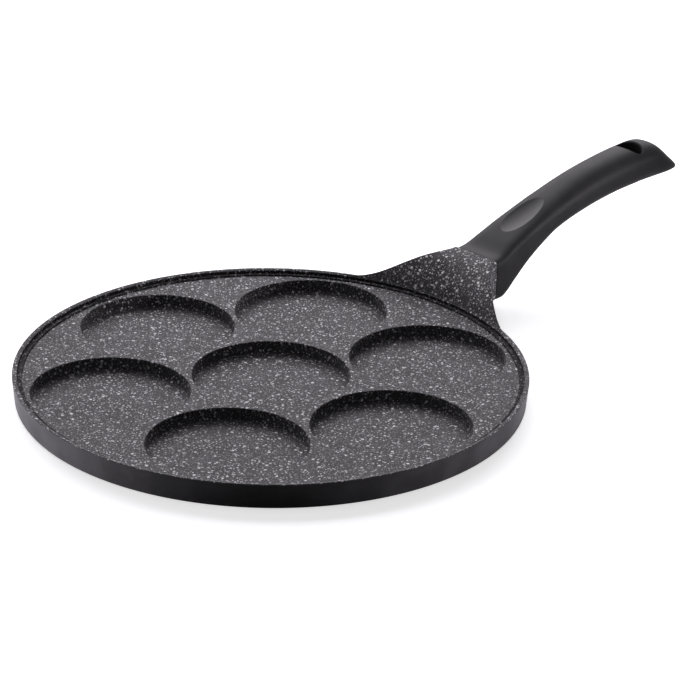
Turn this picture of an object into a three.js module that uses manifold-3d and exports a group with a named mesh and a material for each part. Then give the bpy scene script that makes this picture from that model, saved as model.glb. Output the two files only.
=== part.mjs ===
// Seven-well pancake pan: a die-cast round plate with seven shallow wells and a cast neck,
// a hollow-front phenolic handle held on the neck's tang by one screw, and a steel base disc.
// Millimetres, +Z up, base on z = 0, pan axis on the Z axis, handle along +X.
import * as THREE from 'three';
import { mergeVertices } from 'three/addons/utils/BufferGeometryUtils.js';
import Module from 'manifold-3d';

// Clearances: between touching pieces, and how far a cut runs past the face that it opens
const GAP = 0.3;
const CUT_MARGIN = 1;

// Driving dimensions of the cast plate and its rim
const RIM_RADIUS = 130;
const RIM_TOP = 13.2;
const RIM_EDGE_ROUND = 0.5;
const RIM_LAND_WIDTH = 1.5;
const RIM_LIP_WIDTH = 3.1;
const LIP_FOOT_WIDTH = 1.6;
const LIP_FOOT_HEIGHT = 0.35;
const PLATE_DROP = 2.6;
const WALL_TAPER = 1;
const BASE_EDGE_ROUND = 1.4;
const RIM_SEGMENTS = 96;
const PLATE_TOP = RIM_TOP - PLATE_DROP;

// Driving dimensions of the wells
const WELL_RING_COUNT = 6;
const WELL_RING_RADIUS = 82.8;
const WELL_RADIUS = 40.2;
const WELL_DEPTH = 6.6;
const WELL_DRAFT = 0.7;
const WELL_FLOOR_ROUND = 1.2;
const WELL_LIP_ROUND = 0.5;
const WELL_SEGMENTS = 40;

// Driving dimensions of the steel base disc: each ring of holes is [radius, count]
const DISC_RADIUS = 98;
const DISC_THICKNESS = 0.8;
const DISC_SEGMENTS = 48;
const DISC_HOLE_RADIUS = 3;
const DISC_HOLE_SIDES = 8;
const DISC_HOLE_RINGS = [[26, 6], [52, 12], [78, 18]];

// Driving dimensions of the cast neck and its tang
const NECK_START_RADIUS = 128.4;
const NECK_END = 154.3;
const NECK_HALF_WIDTH = 15.5;
const NECK_ROOT_HALF_WIDTH = 47.4;
const NECK_ROOT_FILLET = 12.5;
const NECK_FLARE_POWER = 1.83;
const NECK_FILLET_POWER = 5;
const NECK_BOW_POWER = 2.6;
const NECK_SINK = 0.1;
const NECK_RISE = 18.3;
const NECK_RISE_RUN = 8.85;
const NECK_RISE_POWER = 1.25;
const NECK_FOOT_START = 5;
const NECK_FOOT_END = RIM_TOP - 5.7;
const NECK_SHOULDER_ROUND = 2.2;
const NECK_SHOULDER_SHARE = 0.45;
const NECK_SHOULDER_STEPS = 3;
const NECK_ROWS = 16;
const NECK_COLUMNS = 11;
const TANG_ROOT = 6;
const TANG_END = 171.5;
const TANG_HALF_WIDTH = 9.5;
const TANG_BOTTOM = 16.5;
const TANG_TOP = 26.5;
const TANG_CORNER = 1.5;

// Driving dimensions of the handle
const HANDLE_FRONT = NECK_END + GAP;
const HANDLE_TIP = 317.4;
const HANDLE_NOSE = 0.1;
const HANDLE_END_ROUND = 22;
const HANDLE_END_POWER = 2.4;
const HANDLE_SIDES = 32;
const HANDLE_SLICES = 30;
// Design stations: distance from the pan axis, top and bottom height, half width, squareness of section
const HANDLE_STATIONS = [
  [HANDLE_FRONT, RIM_TOP + 17.6, NECK_FOOT_END, NECK_HALF_WIDTH, 7],
  [162, RIM_TOP + 19, RIM_TOP - 5.9, 15, 6],
  [172, RIM_TOP + 23.1, RIM_TOP - 0.6, 14.2, 4.8],
  [182, RIM_TOP + 26.7, RIM_TOP + 6.3, 13.6, 4],
  [195, RIM_TOP + 31, RIM_TOP + 12.8, 13, 3.2],
  [210, RIM_TOP + 35.6, RIM_TOP + 18.1, 12.6, 2.7],
  [235, RIM_TOP + 41.7, RIM_TOP + 22.2, 12.3, 2.4],
  [260, RIM_TOP + 44.8, RIM_TOP + 24.7, 12.2, 2.4],
  [284, RIM_TOP + 46.1, RIM_TOP + 25.2, 12.6, 2.4],
  [296, RIM_TOP + 44.7, RIM_TOP + 24.8, 12.6, 2.4],
  [305, RIM_TOP + 37.4, RIM_TOP + 25, 12.6, 2.4],
  [312, RIM_TOP + 31.5, RIM_TOP + 25.2, 12.6, 2.3],
  [HANDLE_TIP, RIM_TOP + 27.5, RIM_TOP + 25, 12.6, 2.2],
];

// Driving dimensions of the thumb rest and the hanging hole in the handle
const DISH_LENGTH = 32;
const DISH_WIDTH = 14.5;
const DISH_DEPTH = 1.8;
const DISH_CENTRE = 191.7;
const DISH_RADIUS_RATIO = 1.9;
const DISH_SEGMENTS = 40;
const DISH_RINGS = 30;
const HANG_HOLE_LENGTH = 14.5;
const HANG_HOLE_WIDTH = 13.5;
const HANG_HOLE_CENTRE = 281.5;
const HANG_HOLE_BEVEL = 1;
const HANG_HOLE_OVERRUN = 4;

// Driving dimensions of the handle screw and its spring washer
const SCREW_X = 162;
const SCREW_RADIUS = 2.5;
const SCREW_SEAT = 13.4;
const SCREW_TOP = 24;
const SCREW_POINT = 0.8;
const SCREW_HEAD_RADIUS = 4.6;
const SCREW_HEAD_HEIGHT = 2.8;
const SCREW_CROWN_RADIUS = 3.2;
const SCREW_CROWN_HEIGHT = 1.1;
const SCREW_RECESS_DEPTH = 2;
const SCREW_RECESS_LENGTH = 5;
const SCREW_RECESS_WIDTH = 1.1;
const SCREW_POCKET_RADIUS = 5.6;
const SCREW_SIDES = 24;
const WASHER_RADIUS = 4.4;
const WASHER_BORE = 2.8;
const WASHER_THICKNESS = 1.1;
const WASHER_SPLIT = 0.8;

const wasm = await Module();
wasm.setup();

// A closed three.js geometry as a solid for joining and cutting
function solid(geometry) {
  const bare = geometry.index ? geometry.toNonIndexed() : geometry.clone();
  bare.deleteAttribute('normal');
  bare.deleteAttribute('uv');
  const merged = mergeVertices(bare, 1e-4);
  const vertProperties = new Float32Array(merged.attributes.position.array);
  const kept = [];
  const index = merged.index.array;
  for (let i = 0; i < index.length; i += 3) {
    const [a, b, c] = [index[i], index[i + 1], index[i + 2]];
    if (a !== b && b !== c && c !== a) {
      kept.push(a, b, c);
    }
  }
  return new wasm.Manifold(new wasm.Mesh({ numProp: 3, vertProperties, triVerts: new Uint32Array(kept) }));
}

// A solid as a three.js geometry
function geometryOf(body) {
  const mesh = body.getMesh();
  const geometry = new THREE.BufferGeometry();
  geometry.setAttribute('position', new THREE.BufferAttribute(new Float32Array(mesh.vertProperties), 3));
  geometry.setIndex(new THREE.BufferAttribute(new Uint32Array(mesh.triVerts), 1));
  geometry.computeVertexNormals();
  return geometry;
}

// A profile of [radius, height] points turned about the Z axis
function turned(points, segments) {
  const geometry = new THREE.LatheGeometry(points.map(([r, z]) => new THREE.Vector2(r, z)), segments);
  return geometry.rotateX(Math.PI / 2);
}

// An upright cone between two heights
function cone(bottom, top, bottomRadius, topRadius, sides) {
  const geometry = new THREE.CylinderGeometry(topRadius, bottomRadius, top - bottom, sides);
  return geometry.rotateX(Math.PI / 2).translate(0, 0, (bottom + top) / 2);
}

// An upright cylinder between two heights
function post(x, y, bottom, top, radius, sides) {
  return cone(bottom, top, radius, radius, sides).translate(x, y, 0);
}

// A bar along X with bevelled long edges
function bar(from, to, halfWidth, bottom, top, corner) {
  const shape = new THREE.Shape();
  const [w, b, t, c] = [halfWidth, bottom, top, corner];
  shape.moveTo(-w + c, b).lineTo(w - c, b).lineTo(w, b + c).lineTo(w, t - c);
  shape.lineTo(w - c, t).lineTo(-w + c, t).lineTo(-w, t - c).lineTo(-w, b + c);
  const geometry = new THREE.ExtrudeGeometry(shape, { depth: to - from, bevelEnabled: false });
  return geometry.rotateX(Math.PI / 2).rotateZ(Math.PI / 2).translate(from, 0, 0);
}

// Closed rings of points joined in order. Each ring runs over its upper half and back under its lower
// half, so each end is closed by strips between the two halves.
function lofted(rings) {
  const count = rings[0].length;
  const faces = [];
  const quad = (a, b, c, d) => faces.push(a, b, c, a, c, d);
  for (let j = 0; j + 1 < rings.length; j += 1) {
    for (let i = 0; i < count; i += 1) {
      const a = j * count + i;
      const b = j * count + ((i + 1) % count);
      quad(a, b, b + count, a + count);
    }
  }
  const end = (rings.length - 1) * count;
  for (let i = 0; i < count / 2 - 1; i += 1) {
    const under = count - 1 - i;
    quad(i + 1, i, under, under - 1);
    quad(end + i, end + i + 1, end + under - 1, end + under);
  }
  const geometry = new THREE.BufferGeometry().setFromPoints(rings.flat());
  geometry.setIndex(faces);
  return geometry;
}

// An arc between two directions, as [across, up] offsets from its centre
function arc(radius, from, to, steps) {
  return Array.from({ length: steps + 1 }, (_, i) => {
    const angle = from + ((to - from) * i) / steps;
    return [radius * Math.cos(angle), radius * Math.sin(angle)];
  });
}

// The cast plate's section: recessed base, rounded base edge, drafted wall, raised lip and flat plate
function panProfile() {
  const lipInner = RIM_RADIUS - RIM_LIP_WIDTH;
  const baseEdge = RIM_RADIUS - WALL_TAPER - BASE_EDGE_ROUND;
  const rimEdge = RIM_RADIUS - RIM_EDGE_ROUND;
  const recessRadius = DISC_RADIUS + GAP;
  const recessTop = DISC_THICKNESS + GAP;
  return [
    [0, recessTop],
    [recessRadius, recessTop],
    [recessRadius, 0],
    ...arc(BASE_EDGE_ROUND, -Math.PI / 2, 0, 3).map(([r, z]) => [baseEdge + r, BASE_EDGE_ROUND + z]),
    ...arc(RIM_EDGE_ROUND, 0, Math.PI / 2, 3).map(([r, z]) => [rimEdge + r, RIM_TOP - RIM_EDGE_ROUND + z]),
    [RIM_RADIUS - RIM_LAND_WIDTH, RIM_TOP],
    [lipInner, PLATE_TOP + LIP_FOOT_HEIGHT],
    [lipInner - LIP_FOOT_WIDTH, PLATE_TOP],
    [0, PLATE_TOP],
  ];
}

// One well as the space it takes out of the plate, with drafted walls and a rounded foot
function wellSpace(x, y) {
  const floor = PLATE_TOP - WELL_DEPTH;
  const round = WELL_FLOOR_ROUND;
  const footRadius = WELL_RADIUS - WELL_DRAFT - round;
  const profile = [
    [0, floor],
    ...arc(round, -Math.PI / 2, 0, 4).map(([r, z]) => [footRadius + r, floor + round + z]),
    [WELL_RADIUS - WELL_LIP_ROUND, PLATE_TOP - WELL_LIP_ROUND],
    [WELL_RADIUS + WELL_LIP_ROUND, PLATE_TOP + WELL_LIP_ROUND],
    [0, PLATE_TOP + WELL_LIP_ROUND],
  ];
  return turned(profile, WELL_SEGMENTS).translate(x, y, 0);
}

// How far the neck's top stands above its start at a distance from the pan axis
function neckRise(radius) {
  const run = Math.max(0, radius - NECK_START_RADIUS) / NECK_RISE_RUN;
  return NECK_RISE * (1 - Math.exp(-Math.pow(run, NECK_RISE_POWER)));
}

// The neck's rows run from the rim out to the handle; each row bows from the rim's arc to a straight line
function neckGeometry() {
  const rootHalf = NECK_ROOT_HALF_WIDTH + NECK_ROOT_FILLET;
  const rimBow = NECK_START_RADIUS - Math.sqrt(NECK_START_RADIUS ** 2 - rootHalf ** 2);
  const shoulder = arc(1, Math.PI / 2, Math.PI, NECK_SHOULDER_STEPS).slice(1);
  const rings = [];
  for (let j = 0; j <= NECK_ROWS; j += 1) {
    const run = j / NECK_ROWS;
    const centre = NECK_START_RADIUS + (NECK_END - NECK_START_RADIUS) * run;
    const flare = (NECK_ROOT_HALF_WIDTH - NECK_HALF_WIDTH) * Math.pow(1 - run, NECK_FLARE_POWER);
    const fillet = NECK_ROOT_FILLET * Math.pow(1 - run, NECK_FILLET_POWER);
    const half = NECK_HALF_WIDTH + flare + fillet;
    const bow = rimBow * Math.pow(1 - run, NECK_BOW_POWER);
    const place = (y) => centre - bow * (y / half) ** 2;
    const topAt = (y) => RIM_TOP - NECK_SINK + neckRise(Math.hypot(place(y), y));
    const foot = NECK_FOOT_START + (NECK_FOOT_END - NECK_FOOT_START) * run;
    const round = Math.min(NECK_SHOULDER_ROUND, (topAt(half) - foot) * NECK_SHOULDER_SHARE);
    const flat = half - round;
    const edge = topAt(flat);
    const upper = Array.from({ length: NECK_COLUMNS }, (_, i) => {
      const y = flat - (2 * flat * i) / (NECK_COLUMNS - 1);
      return [y, topAt(y)];
    });
    const left = shoulder.map(([y, z]) => [round * y - flat, edge + round * (z - 1)]);
    const right = left.map(([y, z]) => [-y, z]).reverse();
    const over = [...right, ...upper, ...left];
    const under = over.map(([y, z]) => [y, Math.abs(y) > flat ? foot + edge - z : foot]).reverse();
    rings.push([...over, ...under].map(([y, z]) => new THREE.Vector3(place(y), y, z)));
  }
  return lofted(rings);
}

function panBodyGeometry() {
  const tang = bar(NECK_END - TANG_ROOT, TANG_END, TANG_HALF_WIDTH, TANG_BOTTOM, TANG_TOP, TANG_CORNER);
  const holeBottom = TANG_BOTTOM - CUT_MARGIN;
  const screwHole = post(SCREW_X, 0, holeBottom, SCREW_TOP + GAP, SCREW_RADIUS + GAP, SCREW_SIDES);
  let body = solid(turned(panProfile(), RIM_SEGMENTS));
  body = body.add(solid(neckGeometry())).add(solid(tang)).subtract(solid(screwHole));
  body = body.subtract(solid(wellSpace(0, 0)));
  for (let i = 0; i < WELL_RING_COUNT; i += 1) {
    const angle = ((i + 0.5) * 2 * Math.PI) / WELL_RING_COUNT;
    const [x, y] = [WELL_RING_RADIUS * Math.cos(angle), WELL_RING_RADIUS * Math.sin(angle)];
    body = body.subtract(solid(wellSpace(x, y)));
  }
  return geometryOf(body);
}

function baseDiscGeometry() {
  let disc = solid(post(0, 0, 0, DISC_THICKNESS, DISC_RADIUS, DISC_SEGMENTS));
  const [low, high] = [-CUT_MARGIN, DISC_THICKNESS + CUT_MARGIN];
  for (const [radius, count] of DISC_HOLE_RINGS) {
    for (let i = 0; i < count; i += 1) {
      const angle = (i * 2 * Math.PI) / count;
      const [x, y] = [radius * Math.cos(angle), radius * Math.sin(angle)];
      disc = disc.subtract(solid(post(x, y, low, high, DISC_HOLE_RADIUS, DISC_HOLE_SIDES)));
    }
  }
  return geometryOf(disc);
}

// The handle's section at one distance from the pan axis, on a smooth curve through the design stations
function handleSection(x) {
  const last = HANDLE_STATIONS.length - 1;
  let k = 0;
  while (k < last - 1 && x > HANDLE_STATIONS[k + 1][0]) {
    k += 1;
  }
  const before = HANDLE_STATIONS[Math.max(k - 1, 0)];
  const from = HANDLE_STATIONS[k];
  const to = HANDLE_STATIONS[k + 1];
  const after = HANDLE_STATIONS[Math.min(k + 2, last)];
  const span = to[0] - from[0];
  const t = (x - from[0]) / span;
  const [, top, bottom, halfWidth, squareness] = from.map((value, i) => {
    const slopeFrom = ((to[i] - before[i]) / (to[0] - before[0])) * span;
    const slopeTo = ((after[i] - value) / (after[0] - from[0])) * span;
    const bend = 2 * (value - to[i]) + slopeFrom + slopeTo;
    const lean = 3 * (to[i] - value) - 2 * slopeFrom - slopeTo;
    return value + slopeFrom * t + lean * t * t + bend * t * t * t;
  });
  const past = Math.max(0, (x - (HANDLE_TIP - HANDLE_END_ROUND)) / HANDLE_END_ROUND);
  const taper = Math.pow(1 - Math.pow(past, HANDLE_END_POWER), 1 / HANDLE_END_POWER);
  return { top, bottom, halfWidth: halfWidth * taper, squareness };
}

function handleBlank() {
  const length = HANDLE_TIP - HANDLE_NOSE - HANDLE_FRONT;
  const rings = Array.from({ length: HANDLE_SLICES }, (_, slice) => {
    const run = (1 - Math.cos((Math.PI * slice) / (HANDLE_SLICES - 1))) / 2;
    const x = HANDLE_FRONT + length * run;
    const { top, bottom, halfWidth, squareness } = handleSection(x);
    const middle = (top + bottom) / 2;
    const halfHeight = (top - bottom) / 2;
    return Array.from({ length: HANDLE_SIDES }, (_, i) => {
      const angle = (2 * Math.PI * (i + 0.5)) / HANDLE_SIDES;
      const [c, s] = [Math.cos(angle), Math.sin(angle)];
      const across = Math.sign(c) * Math.pow(Math.abs(c), 2 / squareness);
      const up = Math.sign(s) * Math.pow(Math.abs(s), 2 / squareness);
      return new THREE.Vector3(x, halfWidth * across, middle + halfHeight * up);
    });
  });
  return lofted(rings);
}

// The shallow thumb rest is the part of a large ellipsoid that dips into the handle's top
function thumbDish() {
  const near = handleSection(DISH_CENTRE - DISH_LENGTH / 2).top;
  const far = handleSection(DISH_CENTRE + DISH_LENGTH / 2).top;
  const slope = Math.atan2(far - near, DISH_LENGTH);
  const ratio = DISH_RADIUS_RATIO;
  const lift = DISH_DEPTH / (1 - Math.sqrt(1 - 1 / ratio ** 2));
  const geometry = new THREE.SphereGeometry(1, DISH_SEGMENTS, DISH_RINGS);
  geometry.scale((DISH_LENGTH / 2) * ratio, (DISH_WIDTH / 2) * ratio, lift);
  geometry.translate(0, 0, lift - DISH_DEPTH).rotateY(-slope);
  return geometry.translate(DISH_CENTRE, 0, (near + far) / 2);
}

// The hanging hole runs upright through the grip, with a bevelled mouth above and below
function hangHole() {
  const { top, bottom } = handleSection(HANG_HOLE_CENTRE);
  const stretch = HANG_HOLE_LENGTH / HANG_HOLE_WIDTH;
  const radius = HANG_HOLE_WIDTH / 2;
  const bevel = HANG_HOLE_BEVEL;
  const mouth = radius + 2 * bevel;
  const cuts = [
    cone(bottom - HANG_HOLE_OVERRUN, top + HANG_HOLE_OVERRUN, radius, radius, HANDLE_SIDES),
    cone(top - bevel, top + bevel, radius, mouth, HANDLE_SIDES),
    cone(bottom - bevel, bottom + bevel, mouth, radius, HANDLE_SIDES),
  ];
  return cuts.map((cut) => cut.scale(stretch, 1, 1).translate(HANG_HOLE_CENTRE, 0, 0));
}

// The handle is hollow in front for the tang, and open below for the screw
function handleGeometry() {
  const socketHalf = TANG_HALF_WIDTH + GAP;
  const socketBottom = TANG_BOTTOM - GAP;
  const socket = bar(NECK_END, TANG_END + GAP, socketHalf, socketBottom, TANG_TOP + GAP, TANG_CORNER);
  const headPocket = post(SCREW_X, 0, 0, SCREW_SEAT, SCREW_POCKET_RADIUS, SCREW_SIDES);
  const shankHole = post(SCREW_X, 0, 0, TANG_BOTTOM, SCREW_RADIUS + GAP, SCREW_SIDES);
  let body = solid(handleBlank());
  for (const cut of [socket, headPocket, shankHole, thumbDish(), ...hangHole()]) {
    body = body.subtract(solid(cut));
  }
  return geometryOf(body);
}

// A pan-head screw standing head down, with a cross recess
function screwGeometry() {
  const seat = SCREW_SEAT - WASHER_THICKNESS - 2 * GAP;
  const head = seat - SCREW_HEAD_HEIGHT;
  const profile = [
    [0, head],
    [SCREW_CROWN_RADIUS, head],
    [SCREW_HEAD_RADIUS, head + SCREW_CROWN_HEIGHT],
    [SCREW_HEAD_RADIUS, seat],
    [SCREW_RADIUS, seat],
    [SCREW_RADIUS, SCREW_TOP - SCREW_POINT],
    [SCREW_RADIUS - SCREW_POINT, SCREW_TOP],
    [0, SCREW_TOP],
  ];
  let body = solid(turned(profile, SCREW_SIDES));
  const [length, width] = [SCREW_RECESS_LENGTH, SCREW_RECESS_WIDTH];
  for (const [x, y] of [[length, width], [width, length]]) {
    const slot = new THREE.BoxGeometry(x, y, SCREW_RECESS_DEPTH * 2).translate(0, 0, head);
    body = body.subtract(solid(slot));
  }
  return geometryOf(body).translate(SCREW_X, 0, 0);
}

// A flat ring with one narrow split
function washerGeometry() {
  const top = SCREW_SEAT - GAP;
  const bottom = top - WASHER_THICKNESS;
  const ring = [[WASHER_BORE, bottom], [WASHER_RADIUS, bottom], [WASHER_RADIUS, top], [WASHER_BORE, top]];
  const split = new THREE.BoxGeometry(WASHER_RADIUS, WASHER_SPLIT, top);
  split.translate(WASHER_RADIUS, 0, bottom);
  const body = solid(turned([...ring, ring[0]], SCREW_SIDES)).subtract(solid(split));
  return geometryOf(body).translate(SCREW_X, 0, 0);
}

const materials = {
  coating: new THREE.MeshStandardMaterial({ color: 0x4a494d, roughness: 0.55, metalness: 0.1 }),
  phenolic: new THREE.MeshStandardMaterial({ color: 0x2b292d, roughness: 0.5, metalness: 0 }),
  steel: new THREE.MeshStandardMaterial({ color: 0xa9abb0, roughness: 0.35, metalness: 1 }),
};

function piece(name, geometry, material) {
  const mesh = new THREE.Mesh(geometry, material);
  mesh.name = name;
  return mesh;
}

const pan = new THREE.Group();
pan.add(piece('pan_body', panBodyGeometry(), materials.coating));
pan.add(piece('base_disc', baseDiscGeometry(), materials.steel));
pan.add(piece('handle', handleGeometry(), materials.phenolic));
pan.add(piece('handle_screw', screwGeometry(), materials.steel));
pan.add(piece('spring_washer', washerGeometry(), materials.steel));

export default pan;
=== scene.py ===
"""Pancake pan: fine pieces, finishes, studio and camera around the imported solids."""
import math

import bmesh
import bpy
from bpy.props import FloatProperty, FloatVectorProperty, IntProperty, PointerProperty
from mathutils import Matrix, Quaternion, Vector


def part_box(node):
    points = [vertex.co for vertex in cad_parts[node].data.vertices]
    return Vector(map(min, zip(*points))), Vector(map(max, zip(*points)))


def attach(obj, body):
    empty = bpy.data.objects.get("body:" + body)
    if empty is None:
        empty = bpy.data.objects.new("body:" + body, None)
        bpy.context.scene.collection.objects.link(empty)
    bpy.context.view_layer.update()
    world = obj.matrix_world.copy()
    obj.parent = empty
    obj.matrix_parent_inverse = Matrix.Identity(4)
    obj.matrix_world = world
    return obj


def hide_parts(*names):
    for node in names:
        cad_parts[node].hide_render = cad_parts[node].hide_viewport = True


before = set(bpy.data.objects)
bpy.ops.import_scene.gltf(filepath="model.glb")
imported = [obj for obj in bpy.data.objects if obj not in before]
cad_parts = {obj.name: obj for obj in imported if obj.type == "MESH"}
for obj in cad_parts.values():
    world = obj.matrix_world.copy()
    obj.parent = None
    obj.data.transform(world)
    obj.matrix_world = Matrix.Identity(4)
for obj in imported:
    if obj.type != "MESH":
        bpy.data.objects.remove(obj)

bl_info = {
    "name": "Pancake Pan",
    "version": (1, 0, 0),
    "blender": (4, 5, 0),
    "location": "View3D > Sidebar > Pancake Pan",
    "description": "Builds the pan's fine pieces, finishes and studio around the packed frame",
    "category": "Object",
}

MM = 0.001
TURN = 2 * math.pi

# Points closer than the seam become one, and edges bent past the crease stay sharp
SEAM = 1e-7
CREASE = math.radians(28)

# Where a finish stands among its piece's materials; the main one comes first
WALL_PAINT = 1
# The lip's step takes a darker, duller copy of the coating as painted shade
PAINTED_LIP_SHADE = 2
THUMB_REST = 1
HOLE_WALL = 2

# The solids' places, from the frame
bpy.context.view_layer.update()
PAN_LOW, PAN_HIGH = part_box("pan_body")
HANDLE_LOW, HANDLE_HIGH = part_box("handle")
DISC_LOW, DISC_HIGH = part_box("base_disc")
SCREW_LOW, SCREW_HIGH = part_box("handle_screw")
WASHER_LOW, WASHER_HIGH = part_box("spring_washer")
SCREW_X = (SCREW_LOW.x + SCREW_HIGH.x) / 2

# Handle sections in millimetres: distance from the pan's axis, top and bottom above the rim's top,
# half width, squareness of the section
HANDLE_STATIONS = [
    (154.6, 17.6, -5.7, 15.5, 7.0),
    (162.0, 18.7, -5.7, 15.0, 7.0),
    (172.0, 22.8, -0.2, 14.1, 5.6),
    (182.0, 26.5, 6.4, 13.5, 4.8),
    (195.0, 31.1, 12.6, 12.9, 3.6),
    (210.0, 36.0, 17.7, 12.5, 2.7),
    (235.0, 42.2, 21.7, 12.3, 2.25),
    (260.0, 45.4, 24.1, 12.3, 2.2),
    (284.0, 46.4, 24.7, 12.7, 2.2),
    (296.0, 44.7, 24.8, 12.6, 2.4),
    (305.0, 37.4, 25.0, 12.6, 2.4),
    (312.0, 31.5, 25.2, 12.6, 2.3),
    (317.4, 27.5, 25.0, 12.6, 2.2),
]

# Rings of holes in the base disc: radius in millimetres and number of holes
DISC_HOLE_RINGS = [(26, 6), (52, 12), (78, 18)]


def length(name, text, default):
    """A size property, its default given in metres."""
    return FloatProperty(name=name, description=text, default=default, unit="LENGTH", precision=5)


def number(name, text, default):
    """A plain number property."""
    return FloatProperty(name=name, description=text, default=default)


def watts(name, text, default):
    """A lamp's power property."""
    return FloatProperty(name=name, description=text, default=default, unit="POWER")


def degrees(name, text, default):
    """An angle property, its default given in degrees."""
    return FloatProperty(name=name, description=text, default=math.radians(default), subtype="ANGLE")


def position(name, text, default):
    """A place property, its default given in millimetres."""
    return FloatVectorProperty(
        name=name, description=text, default=[MM * c for c in default], subtype="XYZ", unit="LENGTH",
    )


def count(name, text, default):
    """A whole number property."""
    return IntProperty(name=name, description=text, default=default, min=1)


def tint(name, text, default):
    """A colour property, in linear values."""
    return FloatVectorProperty(
        name=name, description=text, default=default, size=3, subtype="COLOR", min=0, max=1
    )


class PlateSizes(bpy.types.PropertyGroup):
    """Sizes of the cast plate and its rim."""

    rim_radius: length("Rim radius", "Outer radius of the rim", PAN_HIGH.y)
    rim_top: length("Rim top", "Height of the rim's crest", 13.2 * MM)
    plate_drop: length("Plate drop", "How far the plate lies below the rim", 2.85 * MM)
    crest_inset: length("Crest inset", "How far the rim's crest lies inside the wall", 0.5 * MM)
    land_width: length("Land width", "Width of the lip's flat top", 2.4 * MM)
    land_fall: length("Land fall", "How far the lip's top slopes down inwards", 0.55 * MM)
    lip_draft: length("Lip draft", "How far the lip's inner wall leans", 0.2 * MM)
    ledge_width: length("Ledge width", "Width of the ledge inside the lip", 2.2 * MM)
    ledge_height: length("Ledge height", "Height of the ledge above the plate", 0.8 * MM)
    wall_taper: length("Wall taper", "How far the wall draws in towards the base", 1.0 * MM)
    base_round: length("Base round", "Radius of the base edge", 1.4 * MM)
    recess_gap: length("Recess gap", "Room around the base disc", 0.3 * MM)
    segments: count("Segments", "Steps around the rim", 288)


class WellSizes(bpy.types.PropertyGroup):
    """Sizes of the round wells."""

    ring_count: count("Ring count", "Wells on the ring around the middle one", 6)
    ring_radius: length("Ring radius", "Distance of the ring's wells from the axis", 82.8 * MM)
    radius: length("Well radius", "Radius of a well at the plate", 40.2 * MM)
    depth: length("Well depth", "Depth of a well below the plate", 6.6 * MM)
    draft: length("Well draft", "How far a well's wall leans in", 0.7 * MM)
    floor_round: length("Floor round", "Radius between a well's wall and its floor", 1.0 * MM)
    lip_round: length("Lip round", "Radius of a well's upper edge", 0.5 * MM)
    segments: count("Segments", "Steps around a well", 144)


class NeckSizes(bpy.types.PropertyGroup):
    """Sizes of the cast neck and of its tang inside the handle."""

    start_radius: length("Start radius", "Where the neck leaves the lip", 128.4 * MM)
    end: length("End", "Where the neck meets the handle", HANDLE_LOW.x - 0.3 * MM)
    half_width: length("Half width", "Half of the neck's width at the handle", 15.5 * MM)
    root_half_width: length("Root half width", "Half of the neck's width at the rim", 47.4 * MM)
    root_fillet: length("Root fillet", "Extra half width of the fillet at the rim", 12.5 * MM)
    flare_power: number("Flare power", "How fast the neck widens to the rim", 1.83)
    fillet_power: number("Fillet power", "How close the fillet stays to the rim", 5)
    bow_power: number("Bow power", "How fast the rim's arc straightens", 2.6)
    sink: length("Sink", "How far the neck starts below the rim's top", 0.1 * MM)
    rise: length("Rise", "How far the neck climbs", 18.3 * MM)
    rise_run: length("Rise run", "Distance over which it climbs", 8.85 * MM)
    rise_power: number("Rise power", "How softly the climb starts", 1.25)
    foot_start: length("Foot start", "Underside height at the rim", 5 * MM)
    foot_end: length("Foot end", "Underside height at the handle", 8.5 * MM)
    shoulder_round: length("Shoulder round", "Radius of the long edges", 2.2 * MM)
    shoulder_share: number("Shoulder share", "Largest part of the height that the radius takes", 0.45)
    end_round: length("End round", "Radius of the edge at the handle", 0.3 * MM)
    tang_root: length("Tang root", "How far the tang starts inside the neck", 6 * MM)
    tang_end: length("Tang end", "Where the tang ends inside the handle", PAN_HIGH.x)
    tang_half_width: length("Tang half width", "Half of the tang's width", 9.5 * MM)
    tang_bottom: length("Tang bottom", "Underside of the tang", 16.5 * MM)
    tang_top: length("Tang top", "Top of the tang", 26.5 * MM)


class HandleSizes(bpy.types.PropertyGroup):
    """Sizes of the moulded handle."""

    front: length("Front", "Where the handle starts", HANDLE_LOW.x - 0.2 * MM)
    tip: length("Tip", "Where the handle ends", HANDLE_HIGH.x)
    end_round: length("End round", "Length of the rounded end in plan", 22 * MM)
    end_power: number("End power", "Squareness of the rounded end", 2.4)
    nose_round: length("Nose round", "Radius of the end's thin edge", 1.6 * MM)
    front_round: length("Front round", "Radius of the edge at the neck", 0.3 * MM)
    dish_length: length("Dish length", "Length of the thumb rest", 32 * MM)
    dish_width: length("Dish width", "Width of the thumb rest", 14.5 * MM)
    dish_depth: length("Dish depth", "Depth of the thumb rest", 1 * MM)
    dish_centre: length("Dish centre", "Place of the thumb rest along the handle", 191.7 * MM)
    dish_ratio: number("Dish ratio", "Size of the dish's ellipsoid over the dish's own", 1.9)
    hole_length: length("Hole length", "Length of the hanging hole", 10.8 * MM)
    hole_width: length("Hole width", "Width of the hanging hole", 17 * MM)
    hole_centre: length("Hole centre", "Place of the hanging hole along the handle", 280.8 * MM)
    hole_swell: length("Hole swell", "How much the hole widens towards the handle's end", 0.1 * MM)
    hole_round: length("Hole round", "Radius of the hole's edges", 1.2 * MM)
    socket_gap: length("Socket gap", "Room around the tang", 0.3 * MM)
    pocket_radius: length("Pocket radius", "Radius of the screw's pocket", 5.6 * MM)
    pocket_top: length("Pocket top", "Height of the pocket's seat", 13.4 * MM)
    along: count("Along", "Steps along the handle", 170)
    around: count("Around", "Steps around the handle", 110)


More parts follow.
